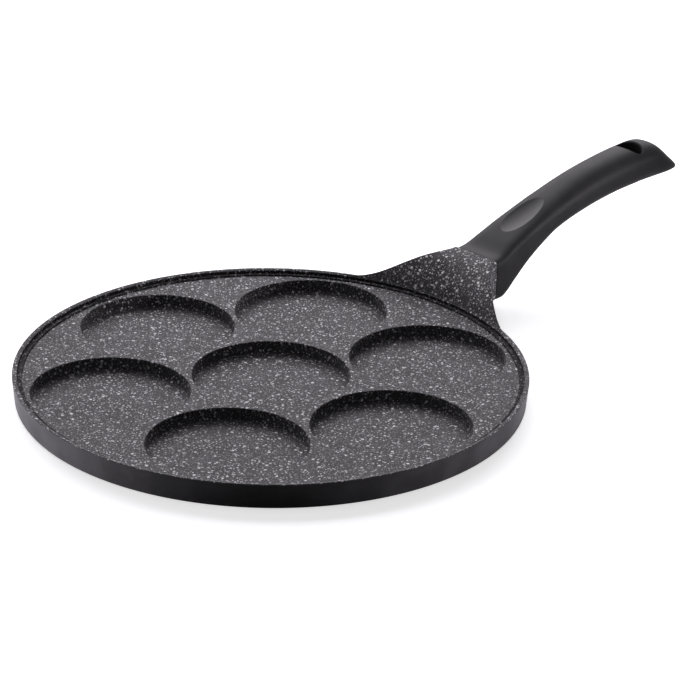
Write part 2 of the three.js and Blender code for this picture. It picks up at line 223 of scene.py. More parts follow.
class FastenerSizes(bpy.types.PropertyGroup):
    """Sizes of the screw, its washer and the base disc."""

    screw_radius: length("Screw radius", "Radius of the shank", 2.5 * MM)
    screw_point: length("Screw point", "Bevel at the shank's end", 0.8 * MM)
    thread_pitch: length("Thread pitch", "Distance between the thread's crests", 0.8 * MM)
    thread_depth: length("Thread depth", "Depth of the thread", 0.35 * MM)
    head_height: length("Head height", "Height of the screw's head", 2.8 * MM)
    head_crown: length("Head crown", "Height of the head's rounded crown", 1.1 * MM)
    recess_length: length("Recess length", "Length of the cross recess", 5 * MM)
    recess_width: length("Recess width", "Width of the cross recess", 1.1 * MM)
    recess_depth: length("Recess depth", "Depth of the cross recess", 2 * MM)
    washer_bore: length("Washer bore", "Inner radius of the washer", 2.8 * MM)
    washer_lift: length("Washer lift", "How far the split ends stand apart in height", 0.15 * MM)
    washer_turn: number("Washer turn", "Part of a full turn that the washer takes", 0.965)
    disc_hole_radius: length("Disc hole radius", "Radius of the disc's holes", 3 * MM)
    disc_edge_round: length("Disc edge round", "Radius of the disc's edges", 0.15 * MM)


class Finishes(bpy.types.PropertyGroup):
    """Colours of the finishes, and of the floor."""

    ground: tint("Coating ground", "Ground colour of the speckled coating", (0.050, 0.0485, 0.0515))
    speck: tint("Coating speck", "Colour of the pale specks", (0.68, 0.67, 0.69))
    wall: tint("Wall paint", "Satin paint of the outer wall", (0.115, 0.112, 0.118))
    phenolic: tint("Handle", "Moulded handle", (0.014, 0.0136, 0.0146))
    steel: tint("Steel", "Base disc and fasteners", (0.56, 0.57, 0.58))
    floor: tint("Floor", "Floor under the pan, as the camera sees it", (0.85, 0.85, 0.85))
    floor_white: tint("Floor white", "Floor under the pan, as a reflection shows it", (0.92, 0.92, 0.92))
    floor_bounce: tint("Floor bounce", "Floor under the pan, as it lights the pan", (0.06, 0.06, 0.06))


class StageSettings(bpy.types.PropertyGroup):
    """Camera, lamps and floor."""

    camera_place: position("Camera place", "Where the camera stands", (-1094.0, -1072.9, 720.1))
    camera_aim: position("Camera aim", "Point at the middle of the picture", (51.9, 1.5, 12.3))
    camera_roll: degrees("Camera roll", "Turn about the line of sight", 1.14)
    lens: FloatProperty(
        name="Lens", description="Focal length in millimetres on a 36 mm sensor", default=177.4,
        unit="CAMERA",
    )
    key_power: watts("Key power", "Power of the softbox above and behind", 29.5)
    left_power: watts("Left power", "Power of the left softbox", 1)
    handle_power: watts("Handle power", "Power of the small softbox beside the handle", 0.046)
    left_strip_power: watts("Left strip power", "Power of the low strip on the left", 0.46)
    right_strip_power: watts("Right strip power", "Power of the low strip on the right", 0.16)
    top_power: watts("Top power", "Power of the softbox overhead", 2.5)
    lamp_tint: tint("Lamp tint", "Colour of the lamps", (0.972, 0.94, 1.0))
    strip_spread: degrees("Strip spread", "Spread of the low strips' light", 80)
    handle_spread: degrees("Handle spread", "Spread of the small softbox's light", 20)
    handle_aim: position("Handle aim", "Point that the small softbox faces", (200, 0, 37))
    fill: number("Fill", "Strength of the soft light from all round", 0.01)
    floor_glow: number("Floor glow", "What the camera's view of the floor adds to its shaded colour", 0.645)
    floor_size: length("Floor size", "Half the width of the floor", 30)


def arc(centre, radius, start, end, steps):
    """Points on an arc in a profile's plane of radius and height, its angles in degrees."""
    points = []
    for i in range(steps + 1):
        angle = math.radians(start + (end - start) * i / steps)
        points.append((centre[0] + radius * math.cos(angle), centre[1] + radius * math.sin(angle)))
    return points


def spun(bm, profile, segments, centre=(0, 0)):
    """Turns a profile of (radius, height) points all the way round an upright axis."""
    verts = [bm.verts.new((centre[0] + r, centre[1], z)) for r, z in profile]
    edges = [bm.edges.new(pair) for pair in zip(verts, verts[1:])]
    bmesh.ops.spin(
        bm, geom=verts + edges, cent=(*centre, 0), axis=(0, 0, 1),
        angle=TURN, steps=segments, use_merge=True,
    )


def tube(bm, along, around, place):
    """Rolls a grid into a closed tube: place(run, turn) gives each point, run and turn from 0 to 1."""
    grid = bmesh.ops.create_grid(bm, x_segments=along, y_segments=around, size=0.5)["verts"]
    for vert in grid:
        vert.co = place(vert.co.x + 0.5, vert.co.y + 0.5)
    bmesh.ops.remove_doubles(bm, verts=grid, dist=SEAM)
    bmesh.ops.holes_fill(bm, edges=[e for e in bm.edges if e.is_boundary])
    bmesh.ops.recalc_face_normals(bm, faces=bm.faces)


def box(low, high):
    """A closed box between two corners."""
    bm = bmesh.new()
    place = Matrix.LocRotScale((Vector(low) + Vector(high)) / 2, None, Vector(high) - Vector(low))
    bmesh.ops.create_cube(bm, size=1, matrix=place)
    return bm


def post(x, bottom, top, radius, segments=48):
    """An upright cylinder on the handle's middle plane."""
    bm = bmesh.new()
    place = Matrix.Translation((x, 0, (bottom + top) / 2))
    bmesh.ops.create_cone(
        bm, cap_ends=True, segments=segments, radius1=radius, radius2=radius,
        depth=top - bottom, matrix=place,
    )
    return bm


def painted(bm, index):
    """Gives every face one material slot."""
    for face in bm.faces:
        face.material_index = index
    return bm


def mesh_piece(name, bm, materials):
    """A bmesh as an object at the origin."""
    mesh = bpy.data.meshes.new(name)
    bm.to_mesh(mesh)
    bm.free()
    for material in materials:
        mesh.materials.append(material)
    piece = bpy.data.objects.new(name, mesh)
    bpy.context.scene.collection.objects.link(piece)
    return piece


def combined(piece, others, operation):
    """Joins other shapes to a piece or cuts them from it, and removes them."""
    for other in others:
        step = piece.modifiers.new(other.name, "BOOLEAN")
        step.object = other
        step.operation = operation
        step.solver = "EXACT"
    graph = bpy.context.evaluated_depsgraph_get()
    rough = piece.data
    piece.data = bpy.data.meshes.new_from_object(piece.evaluated_get(graph))
    piece.modifiers.clear()
    name = rough.name
    bpy.data.meshes.remove(rough)
    piece.data.name = name
    if not piece.data.polygons:
        raise RuntimeError(f"{name} has no faces left after its parts were combined")
    for other in others:
        bpy.data.meshes.remove(other.data)
    return piece


def shaded(piece):
    """Smooth faces, with sharp edges at creases and where two materials meet."""
    bm = bmesh.new()
    bm.from_mesh(piece.data)
    for face in bm.faces:
        face.smooth = True
    for edge in bm.edges:
        finishes = {face.material_index for face in edge.link_faces}
        edge.smooth = len(finishes) == 1 and edge.calc_face_angle(0) < CREASE
    bm.to_mesh(piece.data)
    bm.free()
    return piece


def fitted(piece, node):
    """Lets a piece ride on the pan in place of its solid."""
    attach(piece, "root")
    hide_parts(node)


def node(tree, kind, settings=None, **inputs):
    """Adds a shader node; an input is a value or a socket, with _ for a space in its name."""
    made = tree.nodes.new(kind)
    for key, value in (settings or {}).items():
        setattr(made, key, value)
    for key, value in inputs.items():
        socket = made.inputs[key.replace("_", " ")]
        if isinstance(value, bpy.types.NodeSocket):
            tree.links.new(value, socket)
        else:
            socket.default_value = value
    return made


def sums(tree, operation, *values):
    """A Math node's result for values or sockets."""
    made = tree.nodes.new("ShaderNodeMath")
    made.operation = operation
    for socket, value in zip(made.inputs, values):
        if isinstance(value, bpy.types.NodeSocket):
            tree.links.new(value, socket)
        else:
            socket.default_value = value
    return made.outputs["Value"]


def graded(tree, value, low, high, to_low, to_high):
    """A value eased from one range to another."""
    made = node(
        tree, "ShaderNodeMapRange", {"interpolation_type": "SMOOTHSTEP"}, Value=value,
        From_Min=low, From_Max=high, To_Min=to_low, To_Max=to_high,
    )
    return made.outputs["Result"]


def mixed(tree, share, first, second):
    """Two colours mixed by a share."""
    made = tree.nodes.new("ShaderNodeMix")
    made.data_type = "RGBA"
    for name, value in (("Factor_Float", share), ("A_Color", first), ("B_Color", second)):
        socket = next(s for s in made.inputs if s.identifier == name)
        if isinstance(value, bpy.types.NodeSocket):
            tree.links.new(value, socket)
        else:
            socket.default_value = value
    return next(s for s in made.outputs if s.identifier == "Result_Color")


def new_material(name):
    """An empty node material, its tree and the object's own coordinates."""
    material = bpy.data.materials.new(name)
    material.use_nodes = True
    tree = material.node_tree
    tree.nodes.clear()
    coordinates = tree.nodes.new("ShaderNodeTexCoord").outputs["Object"]
    return material, tree, coordinates


def surface(tree, bump_height, bump_distance, bump_strength, **inputs):
    """Closes a material with a Principled shader and its bump."""
    bump = node(
        tree, "ShaderNodeBump", Height=bump_height, Distance=bump_distance, Strength=bump_strength,
    )
    shader = node(tree, "ShaderNodeBsdfPrincipled", Normal=bump.outputs["Normal"], **inputs)
    node(tree, "ShaderNodeOutputMaterial", Surface=shader.outputs["BSDF"])


def noise(tree, coordinates, grain, detail=2.0):
    """Noise whose grain is a size in metres."""
    made = node(tree, "ShaderNodeTexNoise", Vector=coordinates, Scale=1 / grain, Detail=detail)
    return made.outputs[0]


def specks(tree, coordinates, spacing, radius, least):
    """Scattered round specks: one in each cell of a given spacing, each of its own brightness."""
    cells = node(
        tree, "ShaderNodeTexVoronoi", {"voronoi_dimensions": "3D", "feature": "F1"},
        Vector=coordinates, Scale=1 / spacing,
    )
    size = radius / spacing
    spot = graded(tree, cells.outputs["Distance"], size, size * 0.6, 0, 1)
    chance = node(tree, "ShaderNodeSeparateColor", Color=cells.outputs["Color"]).outputs["Red"]
    bright = graded(tree, sums(tree, "POWER", chance, 1.6), 0, 1, least, 1)
    return sums(tree, "MULTIPLY", spot, bright)


def coating_material(finishes, name, depth, share, shine):
    """Non-stick coating: its ground's depth of colour, how much of its pale flakes shows, its shine."""
    material, tree, coordinates = new_material(name)
    wobble = node(tree, "ShaderNodeTexNoise", Vector=coordinates, Scale=1 / (0.9 * MM), Detail=1.0)
    shift = node(
        tree, "ShaderNodeVectorMath", {"operation": "MULTIPLY_ADD"}, Vector=wobble.outputs["Color"],
    )
    shift.inputs[1].default_value = (0.5 * MM,) * 3
    tree.links.new(coordinates, shift.inputs[2])
    warped = shift.outputs["Vector"]
    large = specks(tree, warped, 3.6 * MM, 0.90 * MM, 0.35)
    medium = specks(tree, warped, 1.6 * MM, 0.55 * MM, 0.12)
    fine = specks(tree, warped, 0.8 * MM, 0.30 * MM, 0.0)
    fine = sums(tree, "MULTIPLY", fine, 0.6)
    pale = sums(tree, "MAXIMUM", sums(tree, "MAXIMUM", large, medium), fine)
    pale = sums(tree, "MULTIPLY", pale, share)
    grain = noise(tree, coordinates, 0.5 * MM, 3.0)
    cloud = noise(tree, coordinates, 14 * MM, 2.0)
    dark = (*[0.72 * depth * c for c in finishes.ground], 1)
    light = (*[1.28 * depth * c for c in finishes.ground], 1)
    ground = mixed(tree, graded(tree, sums(tree, "ADD", grain, cloud), 0.7, 1.3, 0, 1), dark, light)
    colour = mixed(tree, pale, ground, (*finishes.speck, 1))
    rough = graded(tree, grain, 0.3, 0.7, 0.5, 0.62)
    height = sums(tree, "ADD", grain, sums(tree, "MULTIPLY", pale, 0.6))
    flake = sums(tree, "MULTIPLY", pale, 0.1)
    surface(
        tree, height, 0.06 * MM, 0.5, Base_Color=colour, Roughness=rough, Metallic=flake,
        Specular_IOR_Level=shine,
    )
    return material


def wall_material(finishes):
    """Satin dark paint with a faint orange peel."""
    material, tree, coordinates = new_material("satin_wall_paint")
    peel = noise(tree, coordinates, 0.7 * MM, 2.0)
    cloud = noise(tree, coordinates, 18 * MM, 3.0)
    dark = (*[0.85 * c for c in finishes.wall], 1)
    light = (*[1.15 * c for c in finishes.wall], 1)
    colour = mixed(tree, graded(tree, cloud, 0.35, 0.65, 0, 1), dark, light)
    rough = graded(tree, peel, 0.3, 0.7, 0.33, 0.39)
    surface(
        tree, peel, 0.03 * MM, 0.35, Base_Color=colour, Roughness=rough, Specular_IOR_Level=0.08,
    )
    return material


def phenolic_material(finishes, name, least_rough, most_rough, grain_size, shine):
    """Moulded phenolic with a fine spark-eroded grain."""
    material, tree, coordinates = new_material(name)
    grain = noise(tree, coordinates, grain_size, 3.0)
    cloud = noise(tree, coordinates, 11 * MM, 3.0)
    dark = (*[0.88 * c for c in finishes.phenolic], 1)
    light = (*[1.14 * c for c in finishes.phenolic], 1)
    colour = mixed(tree, graded(tree, cloud, 0.35, 0.65, 0, 1), dark, light)
    rough = graded(tree, grain, 0.3, 0.7, least_rough, most_rough)
    surface(
        tree, grain, 0.03 * MM, 0.35, Base_Color=colour, Roughness=rough, Specular_IOR_Level=shine,
    )
    return material


def steel_material(finishes):
    """Stainless steel with fine rings left by turning."""
    material, tree, coordinates = new_material("turned_steel")
    flat = node(tree, "ShaderNodeVectorMath", {"operation": "MULTIPLY"}, Vector=coordinates)
    flat.inputs[1].default_value = (1, 1, 0)
    radius = node(tree, "ShaderNodeVectorMath", {"operation": "LENGTH"}, Vector=flat.outputs["Vector"])
    rings = node(
        tree, "ShaderNodeTexNoise", {"noise_dimensions": "1D"}, W=radius.outputs["Value"],
        Scale=1 / (0.35 * MM), Detail=3.0,
    )
    lines = rings.outputs[0]
    cloud = noise(tree, coordinates, 9 * MM, 3.0)
    dark = (*[0.82 * c for c in finishes.steel], 1)
    colour = mixed(tree, sums(tree, "MULTIPLY", lines, cloud), (*finishes.steel, 1), dark)
    rough = graded(tree, lines, 0.3, 0.7, 0.26, 0.38)
    surface(tree, lines, 0.02 * MM, 0.4, Base_Color=colour, Roughness=rough, Metallic=1.0)
    return material


def plate_profile(plate):
    """The rim and base in section: from the plate over the lip, down the wall, to the base's middle."""
    level = plate.rim_top - plate.plate_drop
    land = plate.rim_radius - plate.land_width
    ledge = land - plate.lip_draft
    foot = ledge - plate.ledge_width - plate.lip_draft
    ledge_top = level + plate.ledge_height
    land_top = plate.rim_top - plate.land_fall
    crest = plate.rim_radius - plate.crest_inset
    base_edge = plate.rim_radius - plate.wall_taper - plate.base_round
    recess_radius = DISC_HIGH.y + plate.recess_gap
    recess_top = DISC_HIGH.z + plate.recess_gap
    plate_edge = foot - 1 * MM
    soft = 0.12 * MM
    return [
        (plate_edge, level),
        (foot - soft, level),
        (foot, level + soft),
        (foot + plate.lip_draft - soft / 2, ledge_top - soft),
        (foot + plate.lip_draft + soft, ledge_top),
        (ledge - soft, ledge_top),
        (ledge, ledge_top + soft),
        (land - soft / 2, land_top - 2 * soft),
        (land, land_top - soft),
        (land + soft, land_top),
        (crest, plate.rim_top),
        *arc((crest, plate.rim_top - plate.crest_inset), plate.crest_inset, 75, 0, 5),
        *arc((base_edge, plate.base_round), plate.base_round, 0, -90, 6),
        (recess_radius + 2 * soft, 0),
        (recess_radius, 2 * soft),
        (recess_radius, recess_top),
        (recess_radius / 2, recess_top),
        (0, recess_top),
    ]


def well_profile(plate, wells):
    """One well in section, from the plate down to the middle of its floor."""
    level = plate.rim_top - plate.plate_drop
    floor = level - wells.depth
    lip, low = wells.lip_round, wells.floor_round
    foot = wells.radius - wells.draft - low
    plate_edge = wells.radius + lip / 2 + 0.3 * MM
    return [
        (plate_edge, level),
        *arc((wells.radius + lip / 2, level - lip), lip, 90, 180, 5),
        *arc((foot, floor + low), low, -8, -90, 10),
        (foot / 2, floor),
        (0, floor),
    ]


def well_centres(wells):
    """The middle well and those on the ring around it."""
    yield 0, 0
    for i in range(wells.ring_count):
        angle = (i + 0.5) * TURN / wells.ring_count
        yield wells.ring_radius * math.cos(angle), wells.ring_radius * math.sin(angle)


def plate_shape(plate, wells):
    """Rim, base and wells turned, with the flat plate filled between them, and their finishes, with painted
    shade as a darker coating in the lip's step.
    """
    bm = bmesh.new()
    spun(bm, plate_profile(plate), plate.segments)
    for centre in well_centres(wells):
        spun(bm, well_profile(plate, wells), wells.segments, centre)
    bmesh.ops.remove_doubles(bm, verts=bm.verts, dist=SEAM)
    edges = [e for e in bm.edges if e.is_boundary]
    bmesh.ops.triangle_fill(bm, edges=edges, use_beauty=True, normal=(0, 0, 1))
    bmesh.ops.recalc_face_normals(bm, faces=bm.faces)
    land = plate.rim_radius - plate.land_width
    lip = land - plate.ledge_width - 2 * plate.lip_draft
    base = DISC_HIGH.z + plate.recess_gap + 1 * MM
    upward = 0.5
    for face in bm.faces:
        middle = face.calc_center_median()
        radius = math.hypot(middle.x, middle.y)
        if middle.z < base or (radius > land and face.normal.z < upward):
            face.material_index = WALL_PAINT
        # Lip wall, ledge and riser: a darker coating that paints the shade in the lip's step
        elif lip < radius < land:
            face.material_index = PAINTED_LIP_SHADE
    return bm


def neck_point(plate, neck, run, side, upper):
    """A point of the neck: run from the rim to the handle, side from one edge to the other."""
    flat_share = 0.8
    root = neck.root_half_width + neck.root_fillet
    rim_bow = neck.start_radius - math.sqrt(neck.start_radius**2 - root**2)
    centre = neck.start_radius + (neck.end - neck.start_radius) * run
    flare = (neck.root_half_width - neck.half_width) * (1 - run) ** neck.flare_power
    fillet = neck.root_fillet * (1 - run) ** neck.fillet_power
    half = neck.half_width + flare + fillet
    bow = rim_bow * (1 - run) ** neck.bow_power

    def along(y):
        return centre - bow * (y / half) ** 2

    def top(y):
        climb = max(0, math.hypot(along(y), y) - neck.start_radius) / neck.rise_run
        return plate.rim_top - neck.sink + neck.rise * (1 - math.exp(-(climb**neck.rise_power)))

    foot = neck.foot_start + (neck.foot_end - neck.foot_start) * run
    radius = min(neck.shoulder_round, (top(half) - foot) * neck.shoulder_share)
    flat = half - radius
    turn = max(0, (abs(side) - flat_share) / (1 - flat_share)) * math.pi / 2
    y = math.copysign(flat * min(1, abs(side) / flat_share) + radius * math.sin(turn), side)
    drop = radius * (1 - math.cos(turn))
    level = (top(y) if turn == 0 else top(flat)) - drop if upper else foot + drop
    return Vector((along(y), y, level))


def neck_shape(plate, neck):
    """The neck as an upper and a lower skin, bridged along their edges."""
    rows, columns = 72, 80
    bm = bmesh.new()
    for upper in (True, False):
        grid = bmesh.ops.create_grid(bm, x_segments=rows, y_segments=columns, size=0.5)["verts"]
        for vert in grid:
            vert.co = neck_point(plate, neck, vert.co.x + 0.5, 2 * vert.co.y, upper)
    bmesh.ops.bridge_loops(bm, edges=[e for e in bm.edges if e.is_boundary])
    bmesh.ops.recalc_face_normals(bm, faces=bm.faces)
    sharp = math.radians(30)
    ends = [
        e for e in bm.edges
        if min(v.co.x for v in e.verts) > neck.end - SEAM and e.calc_face_angle(0) > sharp
    ]
    bmesh.ops.bevel(
        bm, geom=ends, offset=neck.end_round, affect="EDGES", segments=2, profile=0.5, material=-1,
    )
    underside = -0.5
    for face in bm.faces:
        face.material_index = WALL_PAINT if face.normal.z < underside else 0
    return bm


def handle_section(plate, sizes, x):
    """Top, bottom, half width and squareness of the handle at one distance from the pan's axis."""
    at = x / MM
    last = len(HANDLE_STATIONS) - 1
    k = 0
    while k < last - 1 and at > HANDLE_STATIONS[k + 1][0]:
        k += 1
    before, start = HANDLE_STATIONS[max(k - 1, 0)], HANDLE_STATIONS[k]
    end, after = HANDLE_STATIONS[k + 1], HANDLE_STATIONS[min(k + 2, last)]
    span = end[0] - start[0]
    t = (at - start[0]) / span
    values = []
    for i in range(1, 5):
        leave = (end[i] - before[i]) / (end[0] - before[0]) * span
        arrive = (after[i] - start[i]) / (after[0] - start[0]) * span
        bend = 2 * (start[i] - end[i]) + leave + arrive
        lean = 3 * (end[i] - start[i]) - 2 * leave - arrive
        values.append(start[i] + leave * t + lean * t**2 + bend * t**3)
    top, bottom, half, squareness = values
    past = max(0, (x - (sizes.tip - sizes.end_round)) / sizes.end_round)
    taper = max(0, 1 - past**sizes.end_power) ** (1 / sizes.end_power)
    return (
        plate.rim_top + top * MM, plate.rim_top + bottom * MM, half * MM * taper, squareness,
    )


def handle_blank(plate, sizes):
    """The handle before it is cut, as a tube of rounded sections."""
    nose = 0.05 * MM
    nose_share = 0.9
    even_share, eased_share = 0.45, 0.55
    reach = sizes.tip - nose - sizes.front

    def place(run, turn):
        eased = (1 - math.cos(math.pi * run)) / 2
        x = sizes.front + reach * (even_share * run + eased_share * eased)
        top, bottom, half, squareness = handle_section(plate, sizes, x)
        high = (top - bottom) / 2
        near = max(0, 1 - (x - sizes.front) / sizes.front_round)
        shrink = sizes.front_round * (1 - math.sqrt(1 - near**2))
        past = max(0, (x - (sizes.tip - sizes.nose_round)) / sizes.nose_round)
        blunt = math.sqrt(1 - min(1, past) ** 2 * nose_share)
        angle = TURN * turn
        c, s = math.cos(angle), math.sin(angle)
        across = math.copysign(abs(c) ** (2 / squareness), c)
        up = math.copysign(abs(s) ** (2 / squareness), s)
        return Vector((x, (half - shrink) * across, (top + bottom) / 2 + (high * blunt - shrink) * up))

    bm = bmesh.new()
    tube(bm, sizes.along, sizes.around, place)
    return bm


def thumb_dish(plate, sizes):
    """The large ellipsoid whose lowest part is the thumb rest."""
    reach = sizes.dish_length / 2
    near = handle_section(plate, sizes, sizes.dish_centre - reach)[0]
    far = handle_section(plate, sizes, sizes.dish_centre + reach)[0]
    ratio = sizes.dish_ratio
    lift = sizes.dish_depth / (1 - math.sqrt(1 - 1 / ratio**2))
    place = (
        Matrix.Translation((sizes.dish_centre, 0, (near + far) / 2))
        @ Matrix.Rotation(-math.atan2(far - near, sizes.dish_length), 4, "Y")
        @ Matrix.Translation((0, 0, lift - sizes.dish_depth))
        @ Matrix.Diagonal((reach * ratio, sizes.dish_width / 2 * ratio, lift, 1))
    )
    bm = bmesh.new()
    bmesh.ops.create_uvsphere(bm, u_segments=160, v_segments=120, radius=1, matrix=place)
    return painted(bm, THUMB_REST)


def hang_hole(plate, sizes):
    """The hanging hole, with rounded mouths that follow the handle's crown."""
    overrun = 4 * MM
    edge = sizes.hole_round
    turns = (0, 0.35, 0.7, 1.05)
    mouth = [(edge - edge * math.cos(a), edge * math.sin(a) - edge) for a in turns]
    mouth.append((mouth[-1][0], overrun))
    steps = [(out, -1, rise) for out, rise in reversed(mouth)] + [(out, 1, rise) for out, rise in mouth]

    def place(run, turn):
        out, face, rise = steps[round(run * (len(steps) - 1))]
        c, s = math.cos(TURN * turn), math.sin(TURN * turn)
        x = sizes.hole_centre + (sizes.hole_length / 2 + out) * c
        y = (sizes.hole_width / 2 + sizes.hole_swell * c + out) * s
        top, bottom, half, squareness = handle_section(plate, sizes, x)
        crown = (1 - min(1, abs(y) / half) ** squareness) ** (1 / squareness)
        skin = (top + bottom) / 2 + face * crown * (top - bottom) / 2
        return Vector((x, y, skin + face * rise))

    bm = bmesh.new()
    tube(bm, len(steps) - 1, 96, place)
    bm.normal_update()
    upright = 0.2
    for face in bm.faces:
        if abs(face.normal.z) < upright:
            face.material_index = HOLE_WALL
    return bm


def screw_shape(sizes):
    """The screw turned from its section: crowned head below, thread and point above."""
    head_radius = (SCREW_HIGH.y - SCREW_LOW.y) / 2
    low, high = SCREW_LOW.z, SCREW_HIGH.z
    seat = low + sizes.head_height
    turns = int((high - sizes.screw_point - seat) / sizes.thread_pitch)
    root_share, crest_share = 0.3, 0.8
    thread = []
    for i in range(turns):
        foot = seat + i * sizes.thread_pitch
        thread.append((sizes.screw_radius - sizes.thread_depth, foot + root_share * sizes.thread_pitch))
        thread.append((sizes.screw_radius, foot + crest_share * sizes.thread_pitch))
    crown = sizes.head_crown
    profile = [
        (0, low),
        (head_radius - 1.3 * crown, low),
        *arc((head_radius - crown, low + crown), crown, -75, 0, 5),
        (head_radius, seat),
        (sizes.screw_radius, seat),
        *thread,
        (sizes.screw_radius - sizes.screw_point, high),
        (0, high),
    ]
    bm = bmesh.new()
    spun(bm, profile, 48, (SCREW_X, 0))
    bmesh.ops.remove_doubles(bm, verts=bm.verts, dist=SEAM)
    bmesh.ops.recalc_face_normals(bm, faces=bm.faces)
    return bm


def washer_shape(sizes):
    """The split washer: its section turned almost once round while it rises."""
    outer = (WASHER_HIGH.y - WASHER_LOW.y) / 2
    lift = sizes.washer_lift
    bottom, top = WASHER_LOW.z, WASHER_HIGH.z - lift
    corners = [(sizes.washer_bore, bottom), (outer, bottom), (outer, top), (sizes.washer_bore, top)]
    centre = (SCREW_X, 0, 0)
    steps = 56
    start = TURN * (1 - sizes.washer_turn) / 2
    bm = bmesh.new()
    verts = [bm.verts.new((SCREW_X + r, 0, z)) for r, z in corners]
    bmesh.ops.rotate(bm, verts=verts, cent=centre, matrix=Matrix.Rotation(start, 3, "Z"))
    edges = [bm.edges.new((verts[i - 1], verts[i])) for i in range(4)]
    bmesh.ops.spin(
        bm, geom=verts + edges, cent=centre, axis=(0, 0, 1), dvec=(0, 0, lift / steps),
        angle=TURN * sizes.washer_turn, steps=steps,
    )
    bmesh.ops.holes_fill(bm, edges=[e for e in bm.edges if e.is_boundary])
    bmesh.ops.recalc_face_normals(bm, faces=bm.faces)
    return bm


def disc_shape(sizes):
    """The base disc: a round sheet with rings of holes, thickened, its edges rounded."""
    bm = bmesh.new()
    bmesh.ops.create_circle(bm, segments=192, radius=DISC_HIGH.y)
    for radius, holes in DISC_HOLE_RINGS:
        for i in range(holes):
            angle = i * TURN / holes
            centre = (radius * MM * math.cos(angle), radius * MM * math.sin(angle), 0)
            place = Matrix.Translation(centre)
            bmesh.ops.create_circle(bm, segments=32, radius=sizes.disc_hole_radius, matrix=place)
    bmesh.ops.triangle_fill(bm, edges=bm.edges, use_beauty=True, normal=(0, 0, 1))
    flat = bmesh.ops.extrude_face_region(bm, geom=bm.faces[:])["geom"]
    raised = [v for v in flat if isinstance(v, bmesh.types.BMVert)]
    bmesh.ops.translate(bm, verts=raised, vec=(0, 0, DISC_HIGH.z - DISC_LOW.z))
    bmesh.ops.recalc_face_normals(bm, faces=bm.faces)
    sharp = math.radians(60)
    rims = [e for e in bm.edges if e.calc_face_angle(0) > sharp]
    bmesh.ops.bevel(
        bm, geom=rims, offset=sizes.disc_edge_round, affect="EDGES", segments=2, profile=0.5,
        material=-1,
    )
    return bm


class PANCAKE_OT_cast_body(bpy.types.Operator):
    """Build the cast plate with its wells, rim, neck and tang"""

    bl_idname = "pancake_pan.cast_body"
    bl_label = "Cast Body"

    def execute(self, context):
        scene = context.scene
        plate, wells, neck = scene.pan_plate, scene.pan_wells, scene.pan_neck
        finishes = scene.pan_finishes
        coats = [
            coating_material(finishes, "speckled_coating", 1, 1, 0.05),
            wall_material(finishes),
            # A darker, duller copy of the coating: painted shade for the lip's step
            coating_material(finishes, "lip_painted_shade_coating", 0.4, 0.4, 0.01),
        ]
        body = mesh_piece("cast_body", plate_shape(plate, wells), coats)
        ramp = mesh_piece("neck_part", neck_shape(plate, neck), coats)
        half = neck.tang_half_width
        low = (neck.end - neck.tang_root, -half, neck.tang_bottom)
        high = (neck.tang_end, half, neck.tang_top)
        tang = mesh_piece("tang_part", painted(box(low, high), WALL_PAINT), coats)
        combined(body, [ramp, tang], "UNION")
        screw = scene.pan_fasteners
        bore = screw.screw_radius + plate.recess_gap
        hole_top = SCREW_HIGH.z + plate.recess_gap
        hole = post(SCREW_X, neck.tang_bottom - 1 * MM, hole_top, bore)
        combined(body, [mesh_piece("bore_part", painted(hole, WALL_PAINT), coats)], "DIFFERENCE")
        shaded(body)
        fitted(body, "pan_body")
        return {"FINISHED"}


class PANCAKE_OT_handle(bpy.types.Operator):
    """Build the moulded handle with its thumb rest, hanging hole and socket"""

    bl_idname = "pancake_pan.handle"
    bl_label = "Handle"

    def execute(self, context):
        scene = context.scene
        plate, neck, sizes = scene.pan_plate, scene.pan_neck, scene.pan_handle
        screw = scene.pan_fasteners
        finishes = scene.pan_finishes
        coats = [
            phenolic_material(finishes, "moulded_phenolic", 0.50, 0.60, 0.30 * MM, 0.092),
            phenolic_material(finishes, "thumb_rest_phenolic", 0.38, 0.44, 0.22 * MM, 0.10),
            phenolic_material(finishes, "hole_phenolic", 0.86, 0.93, 0.30 * MM, 0.08),
        ]
        handle = mesh_piece("phenolic_handle", handle_blank(plate, sizes), coats)
        gap = sizes.socket_gap
        half = neck.tang_half_width + gap
        low = (sizes.front - 1 * MM, -half, neck.tang_bottom - gap)
        high = (neck.tang_end + gap, half, neck.tang_top + gap)
        shapes = {
            "socket_cut": box(low, high),
            "pocket_cut": post(SCREW_X, 0, sizes.pocket_top, sizes.pocket_radius),
            "shank_cut": post(SCREW_X, 0, neck.tang_bottom, screw.screw_radius + gap),
            "dish_cut": thumb_dish(plate, sizes),
            "hole_cut": hang_hole(plate, sizes),
        }
        cuts = [mesh_piece(name, shape, coats) for name, shape in shapes.items()]
        combined(handle, cuts, "DIFFERENCE")
        shaded(handle)
        fitted(handle, "handle")
        return {"FINISHED"}


class PANCAKE_OT_fasteners(bpy.types.Operator):
    """Build the handle's screw and its spring washer"""

    bl_idname = "pancake_pan.fasteners"
    bl_label = "Screw and Washer"

    def execute(self, context):
        scene = context.scene
        sizes = scene.pan_fasteners
        steel = [steel_material(scene.pan_finishes)]
        screw = mesh_piece("fixing_screw", screw_shape(sizes), steel)
        x, low = SCREW_X, SCREW_LOW.z
        reach, wide, deep = sizes.recess_length / 2, sizes.recess_width / 2, sizes.recess_depth
        slots = []
        for i, (along, across) in enumerate([(reach, wide), (wide, reach)]):
            shape = box((x - along, -across, low - deep), (x + along, across, low + deep))
            slots.append(mesh_piece(f"slot_cut_{i}", shape, steel))
        combined(screw, slots, "DIFFERENCE")
        shaded(screw)
        fitted(screw, "handle_screw")
        washer = mesh_piece("split_washer", washer_shape(sizes), steel)
        shaded(washer)
        fitted(washer, "spring_washer")
        return {"FINISHED"}


